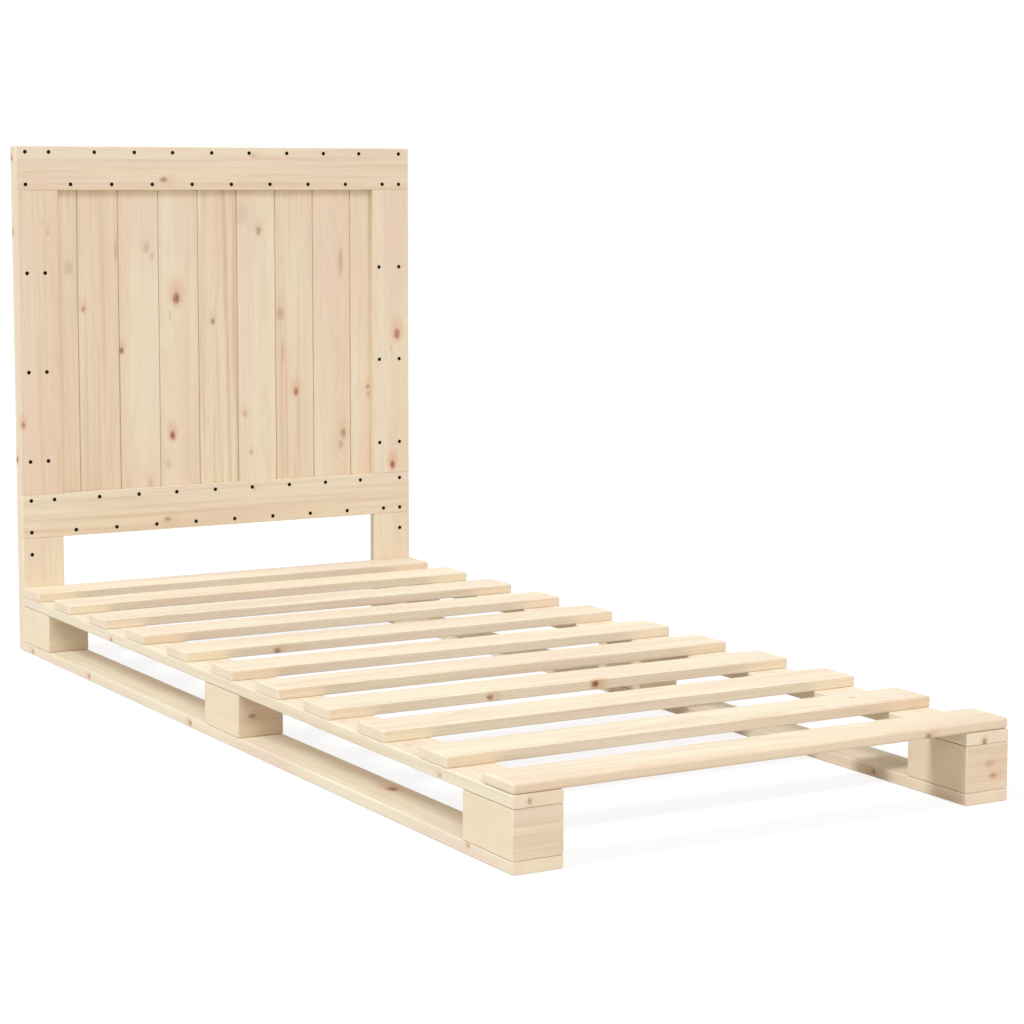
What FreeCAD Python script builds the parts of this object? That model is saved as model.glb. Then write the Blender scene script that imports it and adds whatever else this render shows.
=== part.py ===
import FreeCAD, Part
import math
import os

# A single bed frame built like a pallet, in plain planed softwood.
# Two runners of boards and blocks carry cross slats, and a planked headboard stands at the head end.
# X runs across the bed, Y from the foot to the head and Z up, from the floor under the middle.

# Overall sizes, in millimetres
frame_width = 900.0
deck_length = 2000.0
headboard_height = 1040.0
mid_rail_height = 235.0  # the mid rail's underside above the floor

# Runners: a board on the floor, three blocks and a board on top
runner_width = 84.0
runner_board_thickness = 20.0
block_height = 75.0
block_length = 143.0

# Slats, from the head to the foot; the open length between them is shared out unevenly, as it was laid
slat_width = 88.0
slat_thickness = 18.0
slat_gap_shares = (0.085, 0.099, 0.102, 0.107, 0.109, 0.095, 0.095, 0.100, 0.108, 0.100)

# Headboard: a face frame of boards in front of a panel of upright planks with a narrow post at each edge
face_thickness = 18.0
rail_width = 90.0
stile_width = 88.0
panel_thickness = 16.0
plank_count = 9
post_width = 45.0
tongue_thickness = 5.0
tongue_length = 6.0
tongue_clearance = 0.3

# Eased arrises
board_arris = 2.5
plank_arris = 2.0

# Countersunk screws, with a few flat sides in place of round ones so that a hundred of them stay light
screw_sides = 8
small_head_radius = 4.0
small_shank_radius = 2.0
long_head_radius = 6.0
long_shank_radius = 3.0
hole_clearance = 0.2

# Places of the screws
rail_screw_inset = 12.0  # the rows' distance from a rail's long edges
leg_screw_drop = 34.0  # below the mid rail
upper_screw_shares = (0.27, 0.37, 0.35, 0.30, 0.29, 0.25, 0.23, 0.20, 0.15)  # of a plank's width
lower_screw_share = 0.785
post_screw_shares = {"left": 0.42, "right": 0.53}  # of the post's width, from its outer edge
stile_screw_shares = {"left": 0.14, "right": 0.31}  # of the outer plank's width, from its outer edge
stile_row_shares = (0.11, 0.405, 0.73)  # of the stile's length, from its foot
near_share = 0.28  # of a crossing or a block, for screws set off its middle
far_share = 0.72

# How deep each kind of screw bites, as a share of the piece that holds its point
plank_bite_share = 0.75
slat_bite_share = 0.67
block_bite_share = 0.40
joining_bite_share = 0.32  # of the block's length

# Anything that only has to reach past a face
overrun = 5.0

# Places worked out from the sizes
half_width = frame_width / 2
total_depth = deck_length + face_thickness + panel_thickness
foot_y = -total_depth / 2
face_y = foot_y + deck_length
panel_y = face_y + face_thickness
back_y = panel_y + panel_thickness
block_z = runner_board_thickness
top_board_z = block_z + block_height
slat_z = top_board_z + runner_board_thickness
slat_count = len(slat_gap_shares) + 1
open_length = deck_length - slat_count * slat_width
plank_width = (frame_width - 2 * post_width) / plank_count
mid_rail_top = mid_rail_height + rail_width
top_rail_z = headboard_height - rail_width
sides = {"left": -1, "right": 1}

pieces = {}
holes = {}
screws = {}


def vector(x, y, z):
    return FreeCAD.Vector(x, y, z)


def board(low, high, arris):
    """A straight board between two corners, with every arris eased."""
    size = high.sub(low)
    block = Part.makeBox(size.x, size.y, size.z, low)
    return block.makeChamfer(arris, block.Edges)


def add_piece(name, shape):
    pieces[name] = shape
    holes[name] = []


def ring(radius, height):
    """The corners of a flat-sided ring about Z."""
    angles = [2 * math.pi * corner / screw_sides for corner in range(screw_sides)]
    return [vector(radius * math.cos(angle), radius * math.sin(angle), height) for angle in angles]


def turned(outline):
    """A flat-sided solid about Z, through the radius and height pairs of its outline."""
    rings = [ring(radius, height) for radius, height in outline]
    loops = [rings[0], rings[-1]]
    for lower, upper in zip(rings, rings[1:]):
        for corner in range(screw_sides):
            after = (corner + 1) % screw_sides
            loops.append([lower[corner], lower[after], upper[after], upper[corner]])
    shell = Part.makeShell([Part.Face(Part.makePolygon(loop + loop[:1])) for loop in loops])
    shell.sewShape()
    return Part.makeSolid(shell)


def placed(shape, place, direction):
    shape.Placement = FreeCAD.Placement(place, FreeCAD.Rotation(vector(0, 0, 1), direction))
    return shape


def add_screw(group, through, place, direction, head_radius, shank_radius, length):
    """A countersunk screw with its head flush at the place, and its hole in each piece it goes through."""
    screw = turned([(head_radius, 0), (shank_radius, head_radius - shank_radius), (shank_radius, length)])
    screws.setdefault(group, []).append(placed(screw, place, direction))
    bore = shank_radius + hole_clearance
    bottom = length + hole_clearance
    hole = turned([(head_radius, -overrun), (head_radius, 0), (bore, head_radius - bore), (bore, bottom)])
    placed(hole, place, direction)
    for name in through:
        holes[name].append(hole)


def span_x(side, inner, outer):
    """The left and right X of a piece on one side, from its distances in from the frame's edge."""
    places = [sides[side] * (half_width - outer), sides[side] * (half_width - inner)]
    return min(places), max(places)


def slat_fronts():
    """Each slat's front edge in Y, from the head to the foot."""
    fronts = [face_y - slat_width]
    for share in slat_gap_shares:
        fronts.append(fronts[-1] - share * open_length - slat_width)
    return fronts


def block_fronts():
    """Each block's front edge in Y, under both ends and the middle of the deck."""
    middle = foot_y + (deck_length - block_length) / 2
    return {"foot": foot_y, "middle": middle, "head": face_y - block_length}


def make_runners():
    for side in sides:
        left, right = span_x(side, 0, runner_width)
        for name, bottom in (("bottom_board", 0), ("top_board", top_board_z)):
            low = vector(left, foot_y, bottom)
            high = vector(right, face_y, bottom + runner_board_thickness)
            add_piece(f"{side}_{name}", board(low, high, board_arris))
        for place, front in block_fronts().items():
            low = vector(left, front, block_z)
            high = vector(right, front + block_length, top_board_z)
            add_piece(f"{side}_{place}_block", board(low, high, board_arris))


def make_slats():
    for number, front in enumerate(slat_fronts(), 1):
        low = vector(-half_width, front, slat_z)
        high = vector(half_width, front + slat_width, slat_z + slat_thickness)
        add_piece(f"slat_{number}", board(low, high, board_arris))


def make_face_frame():
    for name, bottom in (("top_rail", top_rail_z), ("mid_rail", mid_rail_height)):
        low = vector(-half_width, face_y, bottom)
        high = vector(half_width, panel_y, bottom + rail_width)
        add_piece(name, board(low, high, board_arris))
    for side in sides:
        left, right = span_x(side, 0, stile_width)
        stile_low = vector(left, face_y, mid_rail_top)
        stile_high = vector(right, panel_y, top_rail_z)
        add_piece(f"{side}_stile", board(stile_low, stile_high, board_arris))
        leg_low = vector(left, face_y, 0)
        leg_high = vector(right, panel_y, mid_rail_height)
        add_piece(f"{side}_leg", board(leg_low, leg_high, board_arris))


def plank_left(number):
    return -half_width + post_width + (number - 1) * plank_width


def plank(number):
    """A plank with a groove down its left edge and a tongue down its right, plain where it meets a post."""
    left = plank_left(number)
    right = left + plank_width
    low = vector(left, panel_y, mid_rail_height)
    high = vector(right, back_y, headboard_height)
    shape = board(low, high, plank_arris)
    middle_y = panel_y + panel_thickness / 2
    if number < plank_count:
        root = right - tongue_length
        tongue_height = headboard_height - mid_rail_height - 2 * plank_arris
        corner = vector(root, middle_y - tongue_thickness / 2, mid_rail_height + plank_arris)
        tongue = Part.makeBox(2 * tongue_length, tongue_thickness, tongue_height, corner)
        shape = shape.fuse(tongue)
    if number > 1:
        depth = tongue_length + tongue_clearance
        width = tongue_thickness + 2 * tongue_clearance
        corner = vector(left - overrun, middle_y - width / 2, mid_rail_height - overrun)
        height = headboard_height - mid_rail_height + 2 * overrun
        shape = shape.cut(Part.makeBox(depth + overrun, width, height, corner))
    return shape.removeSplitter()


def make_panel():
    for number in range(1, plank_count + 1):
        add_piece(f"plank_{number}", plank(number))
    for side in sides:
        left, right = span_x(side, 0, post_width)
        low = vector(left, panel_y, 0)
        high = vector(right, back_y, headboard_height)
        add_piece(f"{side}_post", board(low, high, plank_arris))


def face_screw(through, x, z):
    """A small screw through the face frame into the panel behind it."""
    length = face_thickness + plank_bite_share * panel_thickness
    place = vector(x, face_y, z)
    add_screw("headboard_screws", through, place, vector(0, 1, 0),
              small_head_radius, small_shank_radius, length)


def post_screw_x(side):
    return sides[side] * (half_width - post_screw_shares[side] * post_width)


def make_rail_screws():
    for rail, bottom in (("top_rail", top_rail_z), ("mid_rail", mid_rail_height)):
        upper = bottom + rail_width - rail_screw_inset
        lower = bottom + rail_screw_inset
        for number, upper_share in enumerate(upper_screw_shares, 1):
            through = [rail, f"plank_{number}"]
            face_screw(through, plank_left(number) + upper_share * plank_width, upper)
            face_screw(through, plank_left(number) + lower_screw_share * plank_width, lower)
        for side in sides:
            for height in (upper, lower):
                face_screw([rail, f"{side}_post"], post_screw_x(side), height)


def make_upright_screws():
    stile_length = top_rail_z - mid_rail_top
    outer_planks = {"left": "plank_1", "right": f"plank_{plank_count}"}
    for side, sign in sides.items():
        inner_inset = post_width + stile_screw_shares[side] * plank_width
        for share in stile_row_shares:
            height = mid_rail_top + share * stile_length
            face_screw([f"{side}_stile", f"{side}_post"], post_screw_x(side), height)
            face_screw([f"{side}_stile", outer_planks[side]], sign * (half_width - inner_inset), height)
        face_screw([f"{side}_leg", f"{side}_post"], post_screw_x(side), mid_rail_height - leg_screw_drop)


def make_slat_screws():
    """A screw at each crossing, from beneath, through the top board into the slat."""
    length = runner_board_thickness + slat_bite_share * slat_thickness
    for side, sign in sides.items():
        x = sign * (half_width - runner_width / 2)
        for number, front in enumerate(slat_fronts(), 1):
            place = vector(x, front + slat_width / 2, top_board_z)
            add_screw("slat_screws", [f"{side}_top_board", f"slat_{number}"], place, vector(0, 0, 1),
                      small_head_radius, small_shank_radius, length)


def covering_slat(front):
    """The front edge of the slat that lies most fully over a block."""
    middle = front + block_length / 2
    return min(slat_fronts(), key=lambda slat: abs(slat + slat_width / 2 - middle))


def make_block_screws():
    """A screw from beneath and one from above into each block, the upper one hidden by a slat."""
    length = runner_board_thickness + block_bite_share * block_height
    for side, sign in sides.items():
        outer_x = sign * (half_width - near_share * runner_width)
        inner_x = sign * (half_width - far_share * runner_width)
        for place_name, front in block_fronts().items():
            block = f"{side}_{place_name}_block"
            under = vector(outer_x, front + near_share * block_length, 0)
            add_screw("block_screws", [f"{side}_bottom_board", block], under, vector(0, 0, 1),
                      small_head_radius, small_shank_radius, length)
            over = vector(inner_x, covering_slat(front) + far_share * slat_width, slat_z)
            add_screw("block_screws", [f"{side}_top_board", block], over, vector(0, 0, -1),
                      small_head_radius, small_shank_radius, length)


def make_joining_screws():
    """Two long screws on each side, from behind, through post and leg into the head block."""
    length = panel_thickness + face_thickness + joining_bite_share * block_length
    for side in sides:
        through = [f"{side}_post", f"{side}_leg", f"{side}_head_block"]
        for share in (near_share, far_share):
            place = vector(post_screw_x(side), back_y, block_z + share * block_height)
            add_screw("joining_screws", through, place, vector(0, -1, 0),
                      long_head_radius, long_shank_radius, length)


def export_all():
    os.makedirs("parts", exist_ok=True)
    for name, shape in pieces.items():
        if holes[name]:
            shape = shape.cut(holes[name])
        if not shape.isValid() or len(shape.Solids) != 1:
            raise ValueError(f"{name} is not one sound solid")
        shape.Solids[0].exportStep(f"parts/{name}.step")
    for name, solids in screws.items():
        Part.makeCompound(solids).exportStep(f"parts/{name}.step")


make_runners()
make_slats()
make_face_frame()
make_panel()
make_rail_screws()
make_upright_screws()
make_slat_screws()
make_block_screws()
make_joining_screws()
export_all()
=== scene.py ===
import math
import random

import bpy
from mathutils import Matrix, Vector


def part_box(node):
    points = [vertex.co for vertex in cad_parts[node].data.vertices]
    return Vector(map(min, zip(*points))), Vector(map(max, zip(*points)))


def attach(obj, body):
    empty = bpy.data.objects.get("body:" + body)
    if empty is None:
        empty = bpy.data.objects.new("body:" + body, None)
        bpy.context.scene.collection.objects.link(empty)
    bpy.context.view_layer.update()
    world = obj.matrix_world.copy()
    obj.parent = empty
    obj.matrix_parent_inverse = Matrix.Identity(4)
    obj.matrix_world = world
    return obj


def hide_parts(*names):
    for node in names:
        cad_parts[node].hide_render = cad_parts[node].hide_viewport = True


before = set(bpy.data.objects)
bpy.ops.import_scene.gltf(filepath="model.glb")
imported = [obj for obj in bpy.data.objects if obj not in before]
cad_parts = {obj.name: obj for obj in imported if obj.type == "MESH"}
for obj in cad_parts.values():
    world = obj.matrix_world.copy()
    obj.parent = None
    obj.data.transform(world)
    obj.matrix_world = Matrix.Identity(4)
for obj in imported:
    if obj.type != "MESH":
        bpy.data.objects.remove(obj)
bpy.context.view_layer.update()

# A single bed frame in pale planed pine: slats on pallet runners, and a planked headboard with black screws.
# Boards are made from points by one tree, so that each keeps its own grain, knots and tone as attributes.

worldAxes = {"X": Vector((1, 0, 0)), "Y": Vector((0, 1, 0)), "Z": Vector((0, 0, 1))}
knotNames = ("knotA", "knotB", "knotC", "knotD", "knotE")
farKnot = (9.0, 9.0, 9.0, 0.001, 0.0, 0.0)  # out of every board's reach
farPocket = (9.0, 9.0, 0.01, 0.001)


# Small helpers for node trees

def plug(tree, value, socket):
    if isinstance(value, bpy.types.NodeSocket):
        tree.links.new(value, socket)
    else:
        socket.default_value = value


def addNode(tree, kind, inputs=None, **settings):
    node = tree.nodes.new(kind)
    for name, value in settings.items():
        setattr(node, name, value)
    for key, value in (inputs or {}).items():
        plug(tree, value, node.inputs[key])
    return node


def calc(tree, operation, *values):
    node = addNode(tree, "ShaderNodeMath", operation=operation)
    for value, socket in zip(values, node.inputs):
        plug(tree, value, socket)
    return node.outputs[0]


def vectorCalc(tree, operation, *values):
    node = addNode(tree, "ShaderNodeVectorMath", operation=operation)
    for index, value in enumerate(values):
        plug(tree, value, node.inputs["Scale"] if operation == "SCALE" and index == 1 else node.inputs[index])
    return node.outputs["Value" if operation == "LENGTH" else "Vector"]


def smoothStep(tree, value, start, end):
    node = addNode(tree, "ShaderNodeMapRange", {"Value": value, "From Min": start, "From Max": end},
                   interpolation_type="SMOOTHSTEP")
    return node.outputs["Result"]


def splitVector(tree, vector):
    return addNode(tree, "ShaderNodeSeparateXYZ", {"Vector": vector}).outputs


def mixColour(tree, amount, first, second):
    node = addNode(tree, "ShaderNodeMix", data_type="RGBA")
    for index, value in ((0, amount), (6, first), (7, second)):  # the factor and the two colours
        plug(tree, value, node.inputs[index])
    return node.outputs[2]


def noiseOf(tree, vector, scale=1.0, detail=2.0, roughness=0.5, coloured=False):
    node = addNode(tree, "ShaderNodeTexNoise",
                   {"Vector": vector, "Scale": scale, "Detail": detail, "Roughness": roughness})
    return node.outputs[1 if coloured else 0]


def attributeOf(tree, name):
    return addNode(tree, "ShaderNodeAttribute", attribute_name=name).outputs["Vector"]


def fourOf(tree, name):
    found = addNode(tree, "ShaderNodeAttribute", attribute_name=name).outputs
    return (*splitVector(tree, found["Vector"]), found["Alpha"])


def named(tree, name):
    node = addNode(tree, "GeometryNodeInputNamedAttribute", {"Name": name}, data_type="FLOAT_VECTOR")
    return node.outputs[0]


def newMaterial(name):
    material = bpy.data.materials.new(name)
    material.use_nodes = True
    material.node_tree.nodes.clear()
    return material, material.node_tree


def newGrower(name, inputs):
    tree = bpy.data.node_groups.new(name, "GeometryNodeTree")
    for label, kind in (("Geometry", "Geometry"), *inputs):
        tree.interface.new_socket(label, in_out="INPUT", socket_type=f"NodeSocket{kind}")
    tree.interface.new_socket("Geometry", in_out="OUTPUT", socket_type="NodeSocketGeometry")
    return tree, addNode(tree, "NodeGroupInput").outputs


def closeGrower(tree, geometry, spent, material):
    for name in spent:
        trimmed = addNode(tree, "GeometryNodeRemoveAttribute", {"Geometry": geometry, "Name": name})
        geometry = trimmed.outputs[0]
    dressed = addNode(tree, "GeometryNodeSetMaterial", {"Geometry": geometry, "Material": material})
    addNode(tree, "NodeGroupOutput", {"Geometry": dressed.outputs[0]})


def fromScreen(red, green, blue):
    parts = [part / 255 for part in (red, green, blue)]
    linear = [part / 12.92 if part <= 0.04045 else ((part + 0.055) / 1.055) ** 2.4 for part in parts]
    return (*linear, 1.0)


# Materials

pineLook = {
    "cream": fromScreen(237, 228, 205),
    "peach": fromScreen(232, 212, 186),
    "straw": fromScreen(233, 220, 189),
    "blush": fromScreen(232, 212, 190),
    "lateWood": fromScreen(210, 181, 139),
    "endWood": fromScreen(236, 218, 186),
    "resin": fromScreen(196, 158, 118),
    "knotHeart": (fromScreen(164, 124, 86), fromScreen(190, 112, 82)),  # a brown knot and a red one
    "knotRim": (fromScreen(106, 76, 50), fromScreen(126, 66, 48)),
    "knotGlow": (fromScreen(216, 184, 144), fromScreen(224, 172, 140)),
    "ringGap": 0.0031,
    "ringContrast": 0.17,
    "waver": 0.030,
    "lateRise": (0.15, 0.88),  # late wood darkens over a ring's width, then ends at once
    "lateFall": (0.90, 1.00),
    "lateLeast": 0.25,  # the palest ring's share of the darkest's
    "endTint": 0.30,
    "seedShift": (1.0, 1.7, 0.6),  # how far a board's seed moves its noise
    # each noise's scale along the grain and across it, and the values between which it counts
    "waveScale": (1.6, 12),
    "broadScale": (2.0, 19),
    "broadRange": (0.30, 0.72),
    "hueScale": (2.6, 26),
    "hueRange": (0.36, 0.64),
    "streakScale": (2.0, 95),
    "streakRange": (0.40, 0.78),
    "dashScale": (26, 520),
    "dashRange": (0.66, 0.80),
    "fibreScale": (22, 900),
    "raggedScale": (210, 280),
    "speckleScale": (420, 560),
    "speckleRange": (0.42, 0.60),
    # a board's own tone, its lean from one edge to the other, and the shares of the other colours
    "toneShare": 0.16,
    "leanShare": 22.0,
    "deepRange": (1.0, 3.0),
    "deepShare": 0.25,
    "tintShare": 0.50,
    "dashShare": 0.16,
    "pocketShare": 0.75,
    "pocketBend": 0.012,
    # knots: their shape, the radii up to which they are faint, then their zones in radii of the knot
    "knotLong": 0.62,
    "knotDeep": 0.8,
    "knotRagged": 0.006,
    "knotFade": (0.0012, 0.0060),
    "knotEdge": (1.35, 0.40),
    "ringEdge": (1.2, 1.0),
    "knotRingGap": 0.30,
    "knotRingRange": (0.05, 0.28),
    "knotShare": (0.30, 0.62),
    "glowEdge": (3.0, 0.7),
    "glowDraw": -0.35,  # the glow runs up the grain
    "glowShare": 0.60,
    "glowLeast": 0.001,  # so that the sum that divides is never zero
    "swellFall": -0.16,  # rings swell round a knot
    "swellReach": 1.6,
    # the fibre's shade and the surface
    "fibreShade": 0.09,
    "reliefShare": 0.5,
    "bumpStrength": 0.22,
    "bumpDepth": 0.0005,
    "roughness": 0.64,
    "roughSpread": 0.10,
    "specular": 0.28,
}


def makePine(name, look):
    material, tree = newMaterial(name)
    endGrain = addNode(tree, "ShaderNodeAttribute", attribute_name="endGrain").outputs["Fac"]
    sideGrain = calc(tree, "SUBTRACT", 1.0, endGrain)

    place = attributeOf(tree, "grain")
    seed, tone, streak, lean = fourOf(tree, "lot")
    pithAcross, pithDepth, pithTilt = splitVector(tree, attributeOf(tree, "pith"))
    along, across, depth = splitVector(tree, place)
    shift = vectorCalc(tree, "SCALE", look["seedShift"], seed)

    def stretched(alongScale, crossScale):
        spread = vectorCalc(tree, "MULTIPLY", place, (alongScale, crossScale, crossScale))
        return vectorCalc(tree, "ADD", spread, shift)

    # growth rings about the pith, bent by slow waves and by each knot
    middle = (0.5, 0.5, 0.5)
    wave = noiseOf(tree, stretched(*look["waveScale"]), coloured=True)
    wave = splitVector(tree, vectorCalc(tree, "SUBTRACT", wave, middle))
    ringY = calc(tree, "SUBTRACT", calc(tree, "MULTIPLY_ADD", wave[1], look["waver"], across), pithAcross)
    ringZ = calc(tree, "SUBTRACT", calc(tree, "MULTIPLY_ADD", wave[2], look["waver"], depth), pithDepth)
    ringZ = calc(tree, "SUBTRACT", ringZ, calc(tree, "MULTIPLY", pithTilt, along))
    reach = calc(tree, "SQRT", calc(tree, "ADD", calc(tree, "MULTIPLY", ringY, ringY),
                                    calc(tree, "MULTIPLY", ringZ, ringZ)))

    ragged = noiseOf(tree, stretched(*look["raggedScale"]), detail=3.0, coloured=True)
    ragged = splitVector(tree, vectorCalc(tree, "SUBTRACT", ragged, middle))
    knotMask, glowMask, knotRings, glowSum, warmSum = 0.0, 0.0, 0.0, look["glowLeast"], 0.0
    for knotName in knotNames:
        power, warmth, _ = splitVector(tree, attributeOf(tree, knotName + "Look"))
        knotAlong, knotAcross, knotDepth, knotSize = fourOf(tree, knotName)
        offAlong = calc(tree, "MULTIPLY", calc(tree, "SUBTRACT", along, knotAlong), look["knotLong"])
        offAcross = calc(tree, "SUBTRACT", across, knotAcross)
        offDepth = calc(tree, "MULTIPLY", calc(tree, "SUBTRACT", depth, knotDepth), look["knotDeep"])
        squares = [calc(tree, "POWER", calc(tree, "MULTIPLY_ADD", wobble, look["knotRagged"], off), 2.0)
                   for wobble, off in zip(ragged, (offAlong, offAcross, offDepth))]
        away = calc(tree, "SQRT", calc(tree, "ADD", calc(tree, "ADD", squares[0], squares[1]), squares[2]))
        away = calc(tree, "DIVIDE", away, knotSize)
        strength = calc(tree, "MULTIPLY", smoothStep(tree, knotSize, *look["knotFade"]), power)
        swell = calc(tree, "EXPONENT", calc(tree, "MULTIPLY", calc(tree, "POWER", away, 2.0), look["swellFall"]))
        swell = calc(tree, "MULTIPLY", swell, calc(tree, "MULTIPLY", knotSize, look["swellReach"]))
        reach = calc(tree, "ADD", reach, swell)
        heart = calc(tree, "MULTIPLY", smoothStep(tree, away, *look["knotEdge"]), strength)
        knotMask = calc(tree, "MAXIMUM", knotMask, heart)
        upGrain = calc(tree, "MULTIPLY", calc(tree, "DIVIDE", offAlong, knotSize), look["glowDraw"])
        glow = smoothStep(tree, calc(tree, "ADD", away, upGrain), *look["glowEdge"])
        glow = calc(tree, "MULTIPLY", glow, strength)
        glowMask = calc(tree, "MAXIMUM", glowMask, glow)
        glowSum = calc(tree, "ADD", glowSum, glow)
        warmSum = calc(tree, "MULTIPLY_ADD", glow, warmth, warmSum)
        rings = smoothStep(tree, calc(tree, "PINGPONG", away, look["knotRingGap"]), *look["knotRingRange"])
        rings = calc(tree, "MULTIPLY", rings, smoothStep(tree, away, *look["ringEdge"]))
        knotRings = calc(tree, "ADD", knotRings, rings)

    # a pocket of resin: a thin dark streak with the grain
    pocketAlong, pocketAcross, pocketLength, pocketWidth = fourOf(tree, "pocket")
    farAlong = calc(tree, "DIVIDE", calc(tree, "SUBTRACT", along, pocketAlong), pocketLength)
    bend = calc(tree, "MULTIPLY_ADD", wave[0], look["pocketBend"], calc(tree, "SUBTRACT", across, pocketAcross))
    farAcross = calc(tree, "DIVIDE", bend, pocketWidth)
    farSquare = calc(tree, "ADD", calc(tree, "POWER", farAlong, 2.0), calc(tree, "POWER", farAcross, 2.0))
    pocketMask = calc(tree, "EXPONENT", calc(tree, "MULTIPLY", farSquare, -1.0))

    ringCount = calc(tree, "DIVIDE", reach, look["ringGap"])
    ringPart = calc(tree, "FRACT", ringCount)
    lateWood = calc(tree, "SUBTRACT", smoothStep(tree, ringPart, *look["lateRise"]),
                    smoothStep(tree, ringPart, *look["lateFall"]))
    ringTone = addNode(tree, "ShaderNodeTexWhiteNoise", {"W": calc(tree, "FLOOR", ringCount)},
                       noise_dimensions="1D").outputs["Value"]
    ringTone = calc(tree, "MULTIPLY_ADD", ringTone, 1 - look["lateLeast"], look["lateLeast"])
    lateWood = calc(tree, "MULTIPLY", lateWood, ringTone)

    # slow changes of tone across the board, long streaks, and the fine fibre
    broad = noiseOf(tree, stretched(*look["broadScale"]), detail=1.0)
    tone = calc(tree, "MULTIPLY_ADD", calc(tree, "MULTIPLY", across, look["leanShare"]), lean, tone)
    broad = smoothStep(tree, calc(tree, "MULTIPLY_ADD", tone, look["toneShare"], broad), *look["broadRange"])
    streaks = noiseOf(tree, stretched(*look["streakScale"]), detail=3.0, roughness=0.6)
    streaks = smoothStep(tree, streaks, *look["streakRange"])
    fibre = noiseOf(tree, stretched(*look["fibreScale"]))
    dashes = smoothStep(tree, noiseOf(tree, stretched(*look["dashScale"]), detail=1.0), *look["dashRange"])

    hue = smoothStep(tree, noiseOf(tree, stretched(*look["hueScale"]), detail=1.0), *look["hueRange"])
    tint = mixColour(tree, hue, look["straw"], look["blush"])
    colour = mixColour(tree, broad, look["cream"], look["peach"])
    colour = mixColour(tree, look["tintShare"], colour, tint)
    deep = smoothStep(tree, tone, *look["deepRange"])
    colour = mixColour(tree, calc(tree, "MULTIPLY", deep, look["deepShare"]), colour, look["lateWood"])
    colour = mixColour(tree, calc(tree, "MULTIPLY", endGrain, look["endTint"]), colour, look["endWood"])
    colour = mixColour(tree, calc(tree, "MULTIPLY", lateWood, look["ringContrast"]), colour, look["lateWood"])
    streaks = calc(tree, "MULTIPLY", streaks, calc(tree, "MULTIPLY", streak, sideGrain))
    colour = mixColour(tree, streaks, colour, look["resin"])
    dashes = calc(tree, "MULTIPLY", dashes, calc(tree, "MULTIPLY", sideGrain, look["dashShare"]))
    colour = mixColour(tree, dashes, colour, look["resin"])
    knotWarmth = calc(tree, "DIVIDE", warmSum, glowSum)
    glow = calc(tree, "MULTIPLY_ADD", ragged[0], look["glowShare"], look["glowShare"])
    glow = calc(tree, "MULTIPLY", glowMask, glow)
    colour = mixColour(tree, glow, colour, mixColour(tree, knotWarmth, *look["knotGlow"]))
    speckle = smoothStep(tree, noiseOf(tree, stretched(*look["speckleScale"])), *look["speckleRange"])
    knotColour = mixColour(tree, calc(tree, "MAXIMUM", knotRings, speckle),
                           mixColour(tree, knotWarmth, *look["knotHeart"]),
                           mixColour(tree, knotWarmth, *look["knotRim"]))
    knotMask = calc(tree, "MULTIPLY", knotMask, calc(tree, "MULTIPLY_ADD", speckle, *look["knotShare"]))
    colour = mixColour(tree, knotMask, colour, knotColour)
    colour = mixColour(tree, calc(tree, "MULTIPLY", pocketMask, look["pocketShare"]), colour, look["resin"])
    shade = calc(tree, "MULTIPLY_ADD", calc(tree, "SUBTRACT", fibre, 0.5), look["fibreShade"], 1.0)
    colour = vectorCalc(tree, "SCALE", colour, shade)

    relief = calc(tree, "ADD", calc(tree, "MULTIPLY", fibre, look["reliefShare"]),
                  calc(tree, "MULTIPLY", lateWood, look["reliefShare"]))
    bump = addNode(tree, "ShaderNodeBump", {"Height": relief, "Strength": look["bumpStrength"],
                                            "Distance": look["bumpDepth"]})
    rough = calc(tree, "MULTIPLY_ADD", fibre, look["roughSpread"], look["roughness"] - look["roughSpread"] / 2)
    surface = addNode(tree, "ShaderNodeBsdfPrincipled", {"Base Color": colour, "Roughness": rough,
                                                         "Specular IOR Level": look["specular"],
                                                         "Normal": bump.outputs["Normal"]})
    addNode(tree, "ShaderNodeOutputMaterial", {"Surface": surface.outputs[0]})
    return material


screwLook = {
    "steel": fromScreen(16, 10, 8),
    "worn": fromScreen(32, 26, 23),
    "patchScale": 900.0,
    "patchRange": (0.58, 0.80),
    "bumpStrength": 0.2,
    "bumpDepth": 0.0002,
    "roughness": 0.52,
    "roughSpread": 0.15,
    "specular": 0.14,
}


def makeBlackSteel(name, look):
    material, tree = newMaterial(name)
    place = addNode(tree, "ShaderNodeTexCoord").outputs["Object"]
    patches = noiseOf(tree, place, scale=look["patchScale"], detail=3.0)
    colour = mixColour(tree, smoothStep(tree, patches, *look["patchRange"]), look["steel"], look["worn"])
    bump = addNode(tree, "ShaderNodeBump", {"Height": patches, "Strength": look["bumpStrength"],
                                            "Distance": look["bumpDepth"]})
    surface = addNode(tree, "ShaderNodeBsdfPrincipled", {
        "Base Color": colour, "Specular IOR Level": look["specular"], "Normal": bump.outputs["Normal"],
        "Roughness": calc(tree, "MULTIPLY_ADD", patches, look["roughSpread"], look["roughness"])})
    addNode(tree, "ShaderNodeOutputMaterial", {"Surface": surface.outputs[0]})
    return material


planedPine = makePine("planedPine", pineLook)
slatPine = makePine("slatPine", {**pineLook, "ringContrast": 0.36})
railPine = makePine("railPine", {**pineLook, "ringContrast": 0.11})
blockPine = makePine("blockPine", {**pineLook, "waver": 0.014, "endTint": 0.65, "ringGap": 0.0065,
                                   "ringContrast": 0.18})
blackSteel = makeBlackSteel("blackSteel", screwLook)
print("materials made")


# The board tree: rounded boards of any size at a cloud of points

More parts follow.
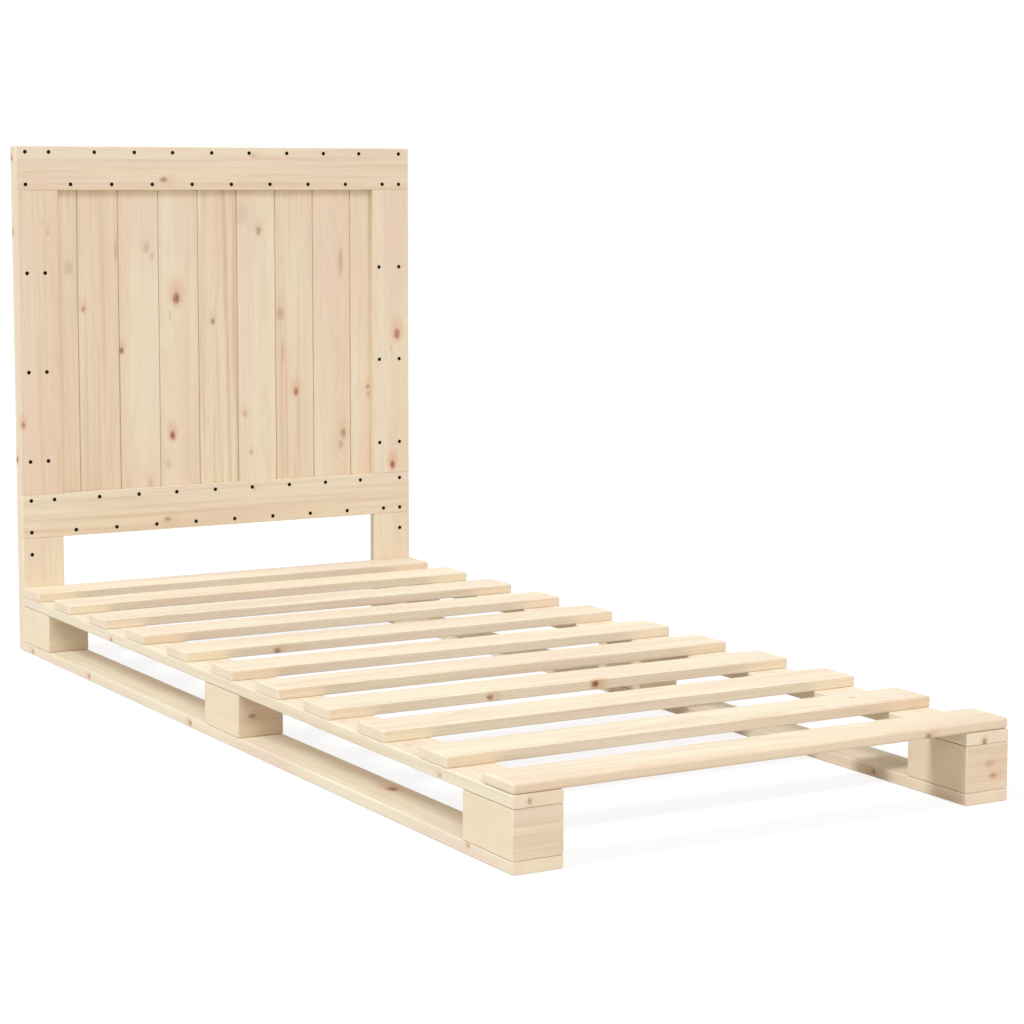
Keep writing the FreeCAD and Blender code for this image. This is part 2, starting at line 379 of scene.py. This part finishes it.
def makeBoardTree():
    tree, given = newGrower("roundedBoards", (("Arris Radius", "Float"), ("End Radius", "Float"),
                                              ("Arris Points", "Int"), ("Wood", "Material")))
    radii = addNode(tree, "ShaderNodeCombineXYZ", {"X": given["End Radius"], "Y": given["Arris Radius"],
                                                   "Z": given["Arris Radius"]}).outputs[0]
    sidePoints = calc(tree, "MULTIPLY", given["Arris Points"], 2)  # even, so that no point lies on a middle plane
    hair = (1e-5, 1e-5, 1e-5)  # rounding in the block's points
    whole = 0.9995  # on a flat, the outward vector is a full unit long

    def store(geometry, name, value, kind="FLOAT_VECTOR"):
        node = addNode(tree, "GeometryNodeStoreNamedAttribute", {"Geometry": geometry, "Name": name},
                       data_type=kind, domain="POINT")
        plug(tree, value, node.inputs["Value"])
        return node.outputs[0]

    spots = store(given["Geometry"], "centre", addNode(tree, "GeometryNodeInputPosition").outputs[0])
    block = addNode(tree, "GeometryNodeMeshCube", {"Size": (2, 2, 2), "Vertices X": sidePoints,
                                                   "Vertices Y": sidePoints, "Vertices Z": sidePoints}).outputs[0]
    block = store(block, "corner", addNode(tree, "GeometryNodeInputPosition").outputs[0])
    copies = addNode(tree, "GeometryNodeInstanceOnPoints", {"Points": spots, "Instance": block}).outputs[0]
    boards = addNode(tree, "GeometryNodeRealizeInstances", {"Geometry": copies}).outputs[0]

    # the block's innermost points go to the edges of the flats, the rest round the arris
    corner = named(tree, "corner")
    side = vectorCalc(tree, "SIGN", corner)
    innermost = calc(tree, "DIVIDE", 1.0, calc(tree, "SUBTRACT", sidePoints, 1))
    lifted = vectorCalc(tree, "SUBTRACT", vectorCalc(tree, "ABSOLUTE", corner), innermost)
    lifted = vectorCalc(tree, "MAXIMUM", vectorCalc(tree, "SUBTRACT", lifted, hair), (0, 0, 0))
    outward = vectorCalc(tree, "NORMALIZE", vectorCalc(tree, "MULTIPLY", side, lifted))
    core = vectorCalc(tree, "SUBTRACT", vectorCalc(tree, "SCALE", named(tree, "size"), 0.5), radii)
    local = vectorCalc(tree, "ADD", vectorCalc(tree, "MULTIPLY", side, core),
                       vectorCalc(tree, "MULTIPLY", outward, radii))
    boards = store(boards, "outward", outward)
    boards = store(boards, "grain", local)
    turn = addNode(tree, "FunctionNodeEulerToRotation", {"Euler": named(tree, "turn")}).outputs[0]
    turned = addNode(tree, "FunctionNodeRotateVector", {
        "Vector": named(tree, "grain"), "Rotation": turn}).outputs[0]
    boards = addNode(tree, "GeometryNodeSetPosition", {
        "Geometry": boards, "Position": vectorCalc(tree, "ADD", turned, named(tree, "centre"))}).outputs[0]
    ends = calc(tree, "ABSOLUTE", splitVector(tree, named(tree, "outward"))[0])
    boards = store(boards, "endGrain", ends, "FLOAT")

    # only the arrises shade smooth: the four corners of a flat all point the same way
    roundness = calc(tree, "LESS_THAN", vectorCalc(tree, "LENGTH", named(tree, "outward")), whole)
    boards = addNode(tree, "GeometryNodeSetShadeSmooth", {
        "Geometry": boards, "Shade Smooth": roundness}).outputs[0]
    closeGrower(tree, boards, ("corner", "centre", "outward", "size", "turn"), given["Wood"])
    return tree


boardTree = makeBoardTree()


def turnFor(run):
    longWay, wideWay = worldAxes[run[0]], worldAxes[run[1]]
    columns = (longWay, wideWay, longWay.cross(wideWay))
    return Matrix(columns).transposed().to_euler()


def pointCloud(name, places, attributes):
    mesh = bpy.data.meshes.new(name)
    mesh.from_pydata(places, [], [])
    for key, values in attributes.items():
        four = len(values[0]) == 4
        layer = mesh.attributes.new(key, "FLOAT_COLOR" if four else "FLOAT_VECTOR", "POINT")
        layer.data.foreach_set("color" if four else "vector", [part for value in values for part in value])
    cloud = bpy.data.objects.new(name, mesh)
    bpy.context.scene.collection.objects.link(cloud)
    return cloud


def grownMesh(cloud, tree, values):
    grower = cloud.modifiers.new("grow", "NODES")
    grower.node_group = tree
    for item in tree.interface.items_tree:
        if item.in_out == "INPUT" and item.name in values:
            grower[item.identifier] = values[item.name]
    found = cloud.evaluated_get(bpy.context.evaluated_depsgraph_get())
    mesh = bpy.data.meshes.new_from_object(found)
    if mesh.materials[0] is None:  # a boolean leaves an empty slot
        mesh.materials.pop(index=0)
    name = cloud.name
    bpy.data.objects.remove(cloud)
    piece = bpy.data.objects.new(name, mesh)
    mesh.name = name
    bpy.context.scene.collection.objects.link(piece)
    return piece


chances = {  # ranges for what a board isn't told
    "streak": (0.05, 0.35),
    "lean": (-0.8, 0.8),
    "noiseSeed": (0, 60),
    "pithAcross": (-0.04, 0.04),
    "pithDepth": (0.05, 0.13),
    "pithTilt": (-0.03, 0.03),
    "knotAlong": (-0.46, 0.46),  # in shares of the board's length and width
    "knotAcross": (-0.42, 0.42),
    "knotRadius": (0.0025, 0.0065),
    "knotStrength": (0.5, 1.0),
    "knotRedness": (0.2, 1.0),
    "knotShare": 0.5,
}
usualKnot = (1.0, 0.6)  # strength and redness
arrisPoints = 3  # round a quarter of a turn


def makeBoards(name, family, wood):
    rng = random.Random(family["seed"])

    def draw(what):
        return rng.uniform(*chances[what])

    def told(what, board, otherwise):
        return family.get(what, {}).get(board, otherwise)

    places = []
    columns = {key: [] for key in ("size", "turn", "lot", "pith", "pocket", *knotNames)}
    columns.update({f"{key}Look": [] for key in knotNames})
    for node, low, high in family["boards"]:
        size = high - low
        places.append((low + high) / 2)
        columns["size"].append([size["XYZ".index(letter)] for letter in family["run"]])
        columns["turn"].append(turnFor(family["run"]))
        anyTone = (rng.uniform(*family.get("toneRange", (0, 0))), draw("streak"), draw("lean"))
        columns["lot"].append((draw("noiseSeed"), *told("tones", node, anyTone)))
        depthSide = rng.choice((-1, 1))
        anyPith = (draw("pithAcross"), depthSide * draw("pithDepth"), draw("pithTilt"))
        columns["pith"].append(told("piths", node, anyPith))
        # the photograph's knots first, then a few on the face that it doesn't show: place along, across and in
        # depth, radius, strength and redness
        long, wide, thick = columns["size"][-1]
        spares = []
        for _ in knotNames:
            spare = (draw("knotAlong") * long, draw("knotAcross") * wide, family["hidden"] * thick / 2,
                     draw("knotRadius"), draw("knotStrength"), draw("knotRedness"))
            spares.append(spare if rng.random() < chances["knotShare"] else farKnot)
        knots = [(*knot, *usualKnot[len(knot) - 4:]) for knot in told("knots", node, ())]
        knots += spares[len(knots):]
        for key, knot in zip(knotNames, knots):
            columns[key].append(knot[:4])
            columns[f"{key}Look"].append((*knot[4:], 0.0))
        columns["pocket"].append(told("pockets", node, farPocket))
    cloud = pointCloud(name, places, columns)
    piece = grownMesh(cloud, boardTree, {
        "Arris Radius": family["arris"], "End Radius": family.get("endArris", family["arris"]),
        "Arris Points": arrisPoints, "Wood": wood})
    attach(piece, "root")
    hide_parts(*[node for node, _, _ in family["boards"]])
    print(name, "made:", len(piece.data.polygons), "faces")


def boxesOf(nodes, lowBy=(0, 0, 0), highBy=(0, 0, 0)):
    boxes = [(node, *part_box(node)) for node in nodes]
    return [(node, low + Vector(lowBy), high - Vector(highBy)) for node, low, high in boxes]


# Slats

shaved = 0.0004  # a screw's head stands this far clear of its wood, so that the head isn't buried

slats = {
    "boards": boxesOf([f"slat_{number}" for number in range(1, 11)]),
    "run": "XYZ",
    "arris": 0.0020,
    "hidden": -1,
    "seed": 4,
    "toneRange": (-0.7, 0.1),
    "knots": {
        "slat_5": [(-0.270, -0.044, -0.004, 0.0050, 0.9, 0.2)],
        "slat_6": [(-0.150, 0.012, 0.009, 0.0035)],
        "slat_8": [(0.051, -0.044, 0.002, 0.0046, 2.0, 0.25), (-0.153, -0.044, -0.001, 0.0042, 1.3, 0.3)],
        "slat_10": [(0.330, 0.010, 0.009, 0.0035)],
    },
}
makeBoards("slats", slats, slatPine)

footSlat = {
    "boards": boxesOf(["slat_11"]),
    "run": "XYZ",
    "arris": 0.0050,  # rounder than the others
    "hidden": -1,
    "seed": 12,
    "tones": {"slat_11": (0.5, 0.25, -1.4)},
    "piths": {"slat_11": (0.02, -0.09, 0.012)},
    "knots": {"slat_11": [(0.291, -0.044, -0.005, 0.0042, 1.2, 0.5)]},
}
makeBoards("footSlat", footSlat, slatPine)

# Runners: boards and blocks

jointGap = 0.0005  # so that a dark line parts a block from its boards

runnerBoards = {
    "boards": boxesOf(["left_bottom_board", "right_bottom_board"], lowBy=(0, 0, shaved))
    + boxesOf(["left_top_board", "right_top_board"]),
    "run": "YXZ",
    "arris": 0.0025,
    "endArris": 0.0006,  # sawn, not planed
    "hidden": 1,
    "seed": 21,
    "toneRange": (-0.7, 0.3),
    "tones": {"left_top_board": (0.6, 0.25, 0.9), "right_bottom_board": (0.1, 0.25, 0.4)},
    "knots": {
        "left_top_board": [(-0.440, -0.026, -0.010, 0.0040, 0.8), (0.514, -0.042, 0.005, 0.0036, 1.6, 0.3),
                           (-0.789, -0.042, 0.003, 0.0030, 1.8, 0.2), (-1.000, -0.014, 0.001, 0.0036, 1.1, 0.6),
                           (-0.641, -0.015, -0.010, 0.0040, 0.7, 0.3)],
        "left_bottom_board": [(0.138, -0.042, 0.001, 0.0045, 1.0, 0.5), (-0.527, 0.016, -0.010, 0.0085, 0.9, 0.9),
                              (0.634, -0.042, 0.000, 0.0040, 1.2, 0.3), (0.953, -0.042, 0.003, 0.0040, 1.2, 0.3),
                              (-0.873, -0.042, -0.006, 0.0032, 1.6, 0.3)],
        "right_top_board": [(-1.000, -0.006, 0.006, 0.0044, 1.2, 0.2)],
        "right_bottom_board": [(-0.771, -0.042, 0.001, 0.0040, 1.0, 1.0)],
    },
}
makeBoards("runnerBoards", runnerBoards, planedPine)

blocks = {
    "boards": boxesOf([f"{side}_{place}_block" for side in ("left", "right")
                       for place in ("foot", "middle", "head")],
                      lowBy=(0, 0, jointGap), highBy=(0, 0, jointGap)),
    "run": "XZY",
    "arris": 0.0008,
    "endArris": 0.0028,
    "hidden": -1,
    "seed": 7,
    "toneRange": (-0.4, 0.6),
    "tones": {"left_foot_block": (1.5, 0.40, -0.4), "right_foot_block": (2.0, 0.3, 0.1),
              "left_middle_block": (1.0, 0.25, 0.1)},
    "piths": {"left_foot_block": (0.19, 0.02, 0.02), "left_middle_block": (-0.17, 0.03, 0.0),
              "left_head_block": (0.21, 0.0, -0.02), "right_foot_block": (-0.2, -0.04, 0.01)},
    "knots": {
        "left_middle_block": [(-0.016, -0.001, 0.071, 0.0042, 1.1, 0.3)],
        "right_foot_block": [(0.012, -0.014, 0.071, 0.0046, 0.8, 1.0), (0.006, 0.006, 0.071, 0.0060, 0.3, 0.8)],
    },
}
makeBoards("blocks", blocks, blockPine)

# Headboard: the face frame of rails, stiles and legs

rails = {
    "boards": boxesOf(["top_rail", "mid_rail"]),
    "run": "XZY",
    "arris": 0.0014,
    "hidden": -1,
    "seed": 15,
    "toneRange": (-0.4, 0.4),
    "tones": {"top_rail": (0.1, 0.35, -1.7), "mid_rail": (-0.1, 0.35, -1.7)},
    "knots": {
        "top_rail": [(-0.129, -0.023, 0.009, 0.0052, 0.8, 0.1), (0.078, 0.028, 0.009, 0.0040, 0.5)],
        "mid_rail": [(-0.129, -0.024, 0.009, 0.0052, 0.7, 0.2), (0.071, 0.030, 0.009, 0.0040, 0.5, 0.8)],
    },
}
makeBoards("rails", rails, railPine)

uprights = {
    "boards": boxesOf([f"{side}_{part}" for side in ("left", "right") for part in ("stile", "leg")])
    + boxesOf(["left_post", "right_post"], highBy=(0, shaved, 0)),
    "run": "ZXY",
    "arris": 0.0014,
    "hidden": 1,
    "seed": 33,
    "toneRange": (-0.5, 0.5),
    "tones": {"left_stile": (1.3, 0.25, 0.8), "right_stile": (0.0, 0.12, 1.0)},
    "knots": {
        "left_stile": [(-0.167, -0.039, -0.009, 0.0045, 1.0, 1.0), (0.227, 0.021, -0.009, 0.0040, 0.5, 0.3)],
        "right_stile": [(-0.004, 0.015, -0.009, 0.0075, 0.9, 1.0), (-0.294, 0.003, -0.009, 0.0060, 1.1, 1.0)],
        "left_post": [(0.495, -0.023, 0.000, 0.0045, 1.0, 0.3), (0.345, -0.023, 0.000, 0.0045, 0.8, 0.2),
                      (-0.123, -0.023, 0.000, 0.0050, 1.0, 0.7)],
    },
    "pockets": {"right_stile": (-0.037, 0.000, 0.007, 0.0012)},
}
makeBoards("uprights", uprights, planedPine)

# Headboard: the planks of the panel, each a little narrower than its share, so that a dark line parts them

panel = {
    "count": 9,
    "gap": 0.0006,
    "run": "ZXY",
    "arris": 0.0030,
    "hidden": 1,
    "seed": 58,
    "toneRange": (-0.5, 0.5),
    "tones": {
        "plank_1": (0.3, 0.40, 0.9), "plank_2": (0.5, 0.35, -0.4), "plank_3": (0.0, 0.12, -1.4),
        "plank_4": (-0.4, 0.15, 0.8), "plank_5": (0.5, 0.50, 0.3), "plank_6": (-0.9, 0.12, 0.6),
        "plank_7": (0.9, 0.45, -0.6), "plank_8": (0.3, 0.15, 0.4), "plank_9": (0.2, 0.20, 0.6),
    },
    "knots": {
        "plank_1": [(0.153, 0.025, -0.008, 0.010, 0.25, 0.0)],
        "plank_2": [(0.067, -0.034, -0.008, 0.0044, 0.9, 1.0)],
        "plank_3": [(0.194, 0.018, -0.008, 0.008, 0.30, 0.2), (-0.022, -0.041, -0.008, 0.0046, 1.3, 0.1),
                    (-0.303, 0.020, -0.008, 0.008, 0.25, 0.5), (0.175, 0.030, -0.008, 0.005, 0.30, 0.2)],
        "plank_4": [(0.085, -0.006, -0.008, 0.0080, 1.0, 0.7), (-0.206, -0.018, -0.008, 0.0058, 1.1, 0.9),
                    (-0.268, -0.028, -0.008, 0.0060, 0.25, 0.3)],
        "plank_5": [(0.034, -0.013, -0.008, 0.0044, 1.1, 0.1)],
        "plank_6": [(0.226, 0.006, -0.008, 0.0060, 0.60, 0.0), (-0.252, -0.016, -0.008, 0.0032, 1.2, 0.6),
                    (-0.167, -0.030, -0.008, 0.0050, 0.40, 0.8), (0.262, -0.035, -0.008, 0.016, 0.15, 0.0)],
        "plank_7": [(0.047, -0.034, -0.008, 0.009, 0.40, 0.2), (-0.124, 0.002, -0.008, 0.0058, 0.9, 1.0)],
        "plank_8": [(-0.220, 0.026, -0.008, 0.0070, 0.65, 0.3), (-0.245, 0.020, -0.008, 0.0060, 0.4, 0.3)],
        "plank_9": [(-0.120, -0.003, -0.008, 0.0040, 0.8, 0.5), (-0.136, -0.002, -0.008, 0.0045, 0.5, 0.4)],
    },
    "pockets": {
        "plank_2": (0.187, 0.040, 0.024, 0.0030),
        "plank_4": (0.051, -0.020, 0.009, 0.0016),
        "plank_7": (-0.040, -0.030, 0.024, 0.0026),
        "plank_8": (0.157, 0.024, 0.030, 0.0050),
    },
}
plankLows = [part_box(f"plank_{number}")[0] for number in range(1, panel["count"] + 1)]
plankHighs = [Vector((low.x, *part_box("plank_1")[1][1:])) for low in plankLows[1:]]
plankHighs.append(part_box(f"plank_{panel['count']}")[1])
inset = Vector((panel["gap"] / 2, 0, 0))
panel["boards"] = [(f"plank_{number}", low + inset, high - inset)
                   for number, (low, high) in enumerate(zip(plankLows, plankHighs), 1)]
makeBoards("panel", panel, planedPine)

# Screws: a countersunk head with a cross recess, at the place of each solid screw

screws = {
    "sides": 24,
    "crossLength": 0.62,  # of the head's diameter
    "crossWidth": 0.17,
    "crossDepth": 0.8 * shaved,
    "headDepth": 0.0024,
    "taper": 0.45,  # the head's foot, as a share of its rim
    "weld": 0.00005,  # points of the solid nearer than this are one
    "rimBand": 0.0001,  # points this near the outermost one belong to the rim
    "seed": 5,
}


def screwPlaces(node):
    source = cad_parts[node].data
    groups = {}
    parent = {}

    def rootOf(key):
        while parent[key] != key:
            key = parent[key]
        return key

    keys = [tuple(round(part / screws["weld"]) for part in vertex.co) for vertex in source.vertices]
    for key in keys:
        parent.setdefault(key, key)
    for face in source.polygons:
        first = rootOf(keys[face.vertices[0]])
        for vertex in face.vertices[1:]:
            parent[rootOf(keys[vertex])] = first
    for key, vertex in zip(keys, source.vertices):
        groups.setdefault(rootOf(key), set()).add(tuple(vertex.co))
    return [[Vector(point) for point in group] for group in groups.values()]


def headOf(points, axis):
    along = [point.dot(axis) for point in points]
    rim = [point for point, reach in zip(points, along) if reach < min(along) + screws["rimBand"]]
    centre = sum(rim, Vector()) / len(rim)
    radius = max((point - centre).length for point in rim)
    return centre, radius


def makeScrewTree():
    tree, given = newGrower("countersunkScrews", (
        ("Sides", "Int"), ("Cross Length", "Float"), ("Cross Width", "Float"), ("Cross Depth", "Float"),
        ("Head Depth", "Float"), ("Taper", "Float"), ("Steel", "Material")))
    # a head of radius one that tapers down into its shank, below the wood's face
    head = addNode(tree, "GeometryNodeMeshCone", {
        "Vertices": given["Sides"], "Radius Top": 1.0, "Radius Bottom": given["Taper"],
        "Depth": given["Head Depth"]}).outputs[0]
    down = vectorCalc(tree, "SCALE", (0, 0, -1), given["Head Depth"])
    head = addNode(tree, "GeometryNodeTransform", {"Geometry": head, "Translation": down}).outputs[0]
    cut = addNode(tree, "GeometryNodeMeshBoolean", {"Mesh 1": head}, operation="DIFFERENCE", solver="EXACT")
    for quarter in (0, 1):
        size = addNode(tree, "ShaderNodeCombineXYZ", {
            "X": given["Cross Length"] if quarter else given["Cross Width"],
            "Y": given["Cross Width"] if quarter else given["Cross Length"],
            "Z": given["Cross Depth"]}).outputs[0]
        arm = addNode(tree, "GeometryNodeMeshCube", {"Size": vectorCalc(tree, "SCALE", size, 2.0)}).outputs[0]
        tree.links.new(arm, cut.inputs["Mesh 2"])
    turn = addNode(tree, "FunctionNodeEulerToRotation", {"Euler": named(tree, "turn")}).outputs[0]
    copies = addNode(tree, "GeometryNodeInstanceOnPoints", {
        "Points": given["Geometry"], "Instance": cut.outputs[0], "Rotation": turn,
        "Scale": named(tree, "size")}).outputs[0]
    made = addNode(tree, "GeometryNodeRealizeInstances", {"Geometry": copies}).outputs[0]
    closeGrower(tree, made, ("turn", "size"), given["Steel"])
    return tree


screwTree = makeScrewTree()


def makeScrews(name, node, axis, rng, proud=0.0):
    places, turns, sizes = [], [], []
    for points in screwPlaces(node):
        direction = axis
        if axis is None:  # this group has heads on two sides: the head is the wide end
            ends = [headOf(points, worldAxes["Z"] * sign) for sign in (1, -1)]
            direction = worldAxes["Z"] if ends[0][1] > ends[1][1] else -worldAxes["Z"]
        centre, radius = headOf(points, direction)
        spin = Matrix.Rotation(rng.uniform(0, math.pi), 4, direction)
        places.append(centre - direction * proud)
        turns.append((spin.to_3x3() @ (-direction).to_track_quat("Z", "Y").to_matrix()).to_euler())
        sizes.append((radius, radius, 1))
    cloud = pointCloud(name, places, {"turn": turns, "size": sizes})
    piece = grownMesh(cloud, screwTree, {
        "Sides": screws["sides"], "Cross Length": screws["crossLength"], "Cross Width": screws["crossWidth"],
        "Cross Depth": screws["crossDepth"], "Head Depth": screws["headDepth"], "Taper": screws["taper"],
        "Steel": blackSteel})
    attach(piece, "root")
    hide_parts(node)
    print(name, "made:", len(places), "screws,", len(piece.data.polygons), "faces")


screwRandom = random.Random(screws["seed"])
makeScrews("headboardScrews", "headboard_screws", worldAxes["Y"], screwRandom, proud=shaved)
makeScrews("slatScrews", "slat_screws", worldAxes["Z"], screwRandom, proud=shaved)
makeScrews("joiningScrews", "joining_screws", -worldAxes["Y"], screwRandom)
makeScrews("blockScrews", "block_screws", None, screwRandom)

# Stage: floor, backdrop and light

stage = {
    "floorSize": 60.0,
    "floorHeight": -0.0003,  # just clear of the feet
    "floorBounce": (0.665, 0.635, 0.615, 1),
    "floorSeen": 0.22,
    "floorLift": 0.82,
    "ambient": (0.42, 0.405, 0.412, 1.0),
}


def seenRay(tree):
    rays = addNode(tree, "ShaderNodeLightPath").outputs
    seen = calc(tree, "MAXIMUM", rays["Is Camera Ray"], rays["Is Glossy Ray"])
    return calc(tree, "MAXIMUM", seen, rays["Is Transmission Ray"])


def makeFloor():
    half = stage["floorSize"] / 2
    mesh = bpy.data.meshes.new("floor")
    corners = ((-half, -half), (half, -half), (half, half), (-half, half))
    mesh.from_pydata([(x, y, stage["floorHeight"]) for x, y in corners], [], [(0, 1, 2, 3)])
    floor = bpy.data.objects.new("floor", mesh)
    bpy.context.scene.collection.objects.link(floor)
    material, tree = newMaterial("paleFloor")
    seen = stage["floorSeen"]
    hidden = addNode(tree, "ShaderNodeBsdfDiffuse", {"Color": stage["floorBounce"]})
    shown = addNode(tree, "ShaderNodeBsdfDiffuse", {"Color": (seen, seen, seen, 1)})
    lift = addNode(tree, "ShaderNodeEmission", {"Strength": stage["floorLift"]})
    pale = addNode(tree, "ShaderNodeAddShader")
    tree.links.new(shown.outputs[0], pale.inputs[0])
    tree.links.new(lift.outputs[0], pale.inputs[1])
    mixed = addNode(tree, "ShaderNodeMixShader", {0: seenRay(tree), 1: hidden.outputs[0], 2: pale.outputs[0]})
    addNode(tree, "ShaderNodeOutputMaterial", {"Surface": mixed.outputs[0]})
    mesh.materials.append(material)


def makeWorld():
    world = bpy.data.worlds.new("studio")
    bpy.context.scene.world = world
    world.use_nodes = True
    tree = world.node_tree
    tree.nodes.clear()
    colour = mixColour(tree, seenRay(tree), stage["ambient"], (1, 1, 1, 1))
    sky = addNode(tree, "ShaderNodeBackground", {"Color": colour, "Strength": 1.0})
    addNode(tree, "ShaderNodeOutputWorld", {"Surface": sky.outputs[0]})


lamps = {  # where each one stands: its turn round the bed, and its height in degrees
    "keyHigh": {"turn": 180, "height": 57, "strength": 0.325, "width": 14, "colour": (0.89, 1.00, 1.06)},
    "keyLow": {"turn": 180, "height": 45, "strength": 0.304, "width": 14, "colour": (0.95, 0.99, 1.04)},
    "footLeft": {"turn": 250, "height": 38, "strength": 0.231, "width": 25, "colour": (1.00, 1.00, 1.01)},
    "foot": {"turn": 275, "height": 37, "strength": 0.103, "width": 20, "colour": (1.0, 1.0, 1.0)},
    "footLow": {"turn": 275, "height": 15, "strength": 0.118, "width": 30, "colour": (1.16, 0.98, 0.92)},
    "right": {"turn": 0, "height": 35, "strength": 0.053, "width": 30, "colour": (0.60, 1.10, 1.30)},
    "behind": {"turn": 90, "height": 45, "strength": 0.111, "width": 40, "colour": (1.10, 0.96, 0.94)},
}


def makeLamp(name, facts):
    light = bpy.data.lights.new(name, "SUN")
    light.energy = facts["strength"] * math.pi  # a sun of pi lights a square face at one
    light.angle = math.radians(facts["width"])
    light.color = facts["colour"]
    lamp = bpy.data.objects.new(name, light)
    lamp.rotation_euler = (math.radians(90 - facts["height"]), 0, math.radians(90 + facts["turn"]))
    bpy.context.scene.collection.objects.link(lamp)


makeFloor()
makeWorld()
for lampName, lampFacts in lamps.items():
    makeLamp(lampName, lampFacts)
print("stage set")

# Camera: a long lens, a little lower than the headboard's top, turned from the foot towards the right

view = {
    "place": (-2.2257, -4.0579, 0.9657),
    "turn": 29.725,
    "tilt": 5.942,
    "lens": 90.52,
    "sensor": 36.0,
    "shift": (0.0236, -0.06),
}
lens = bpy.data.cameras.new("camera")
lens.lens = view["lens"]
lens.sensor_width = view["sensor"]
lens.shift_x, lens.shift_y = view["shift"]
camera = bpy.data.objects.new("camera", lens)
camera.location = view["place"]
camera.rotation_euler = (math.radians(90 - view["tilt"]), 0, math.radians(-view["turn"]))
bpy.context.scene.collection.objects.link(camera)
bpy.context.scene.camera = camera
bpy.context.scene.view_settings.view_transform = "Standard"
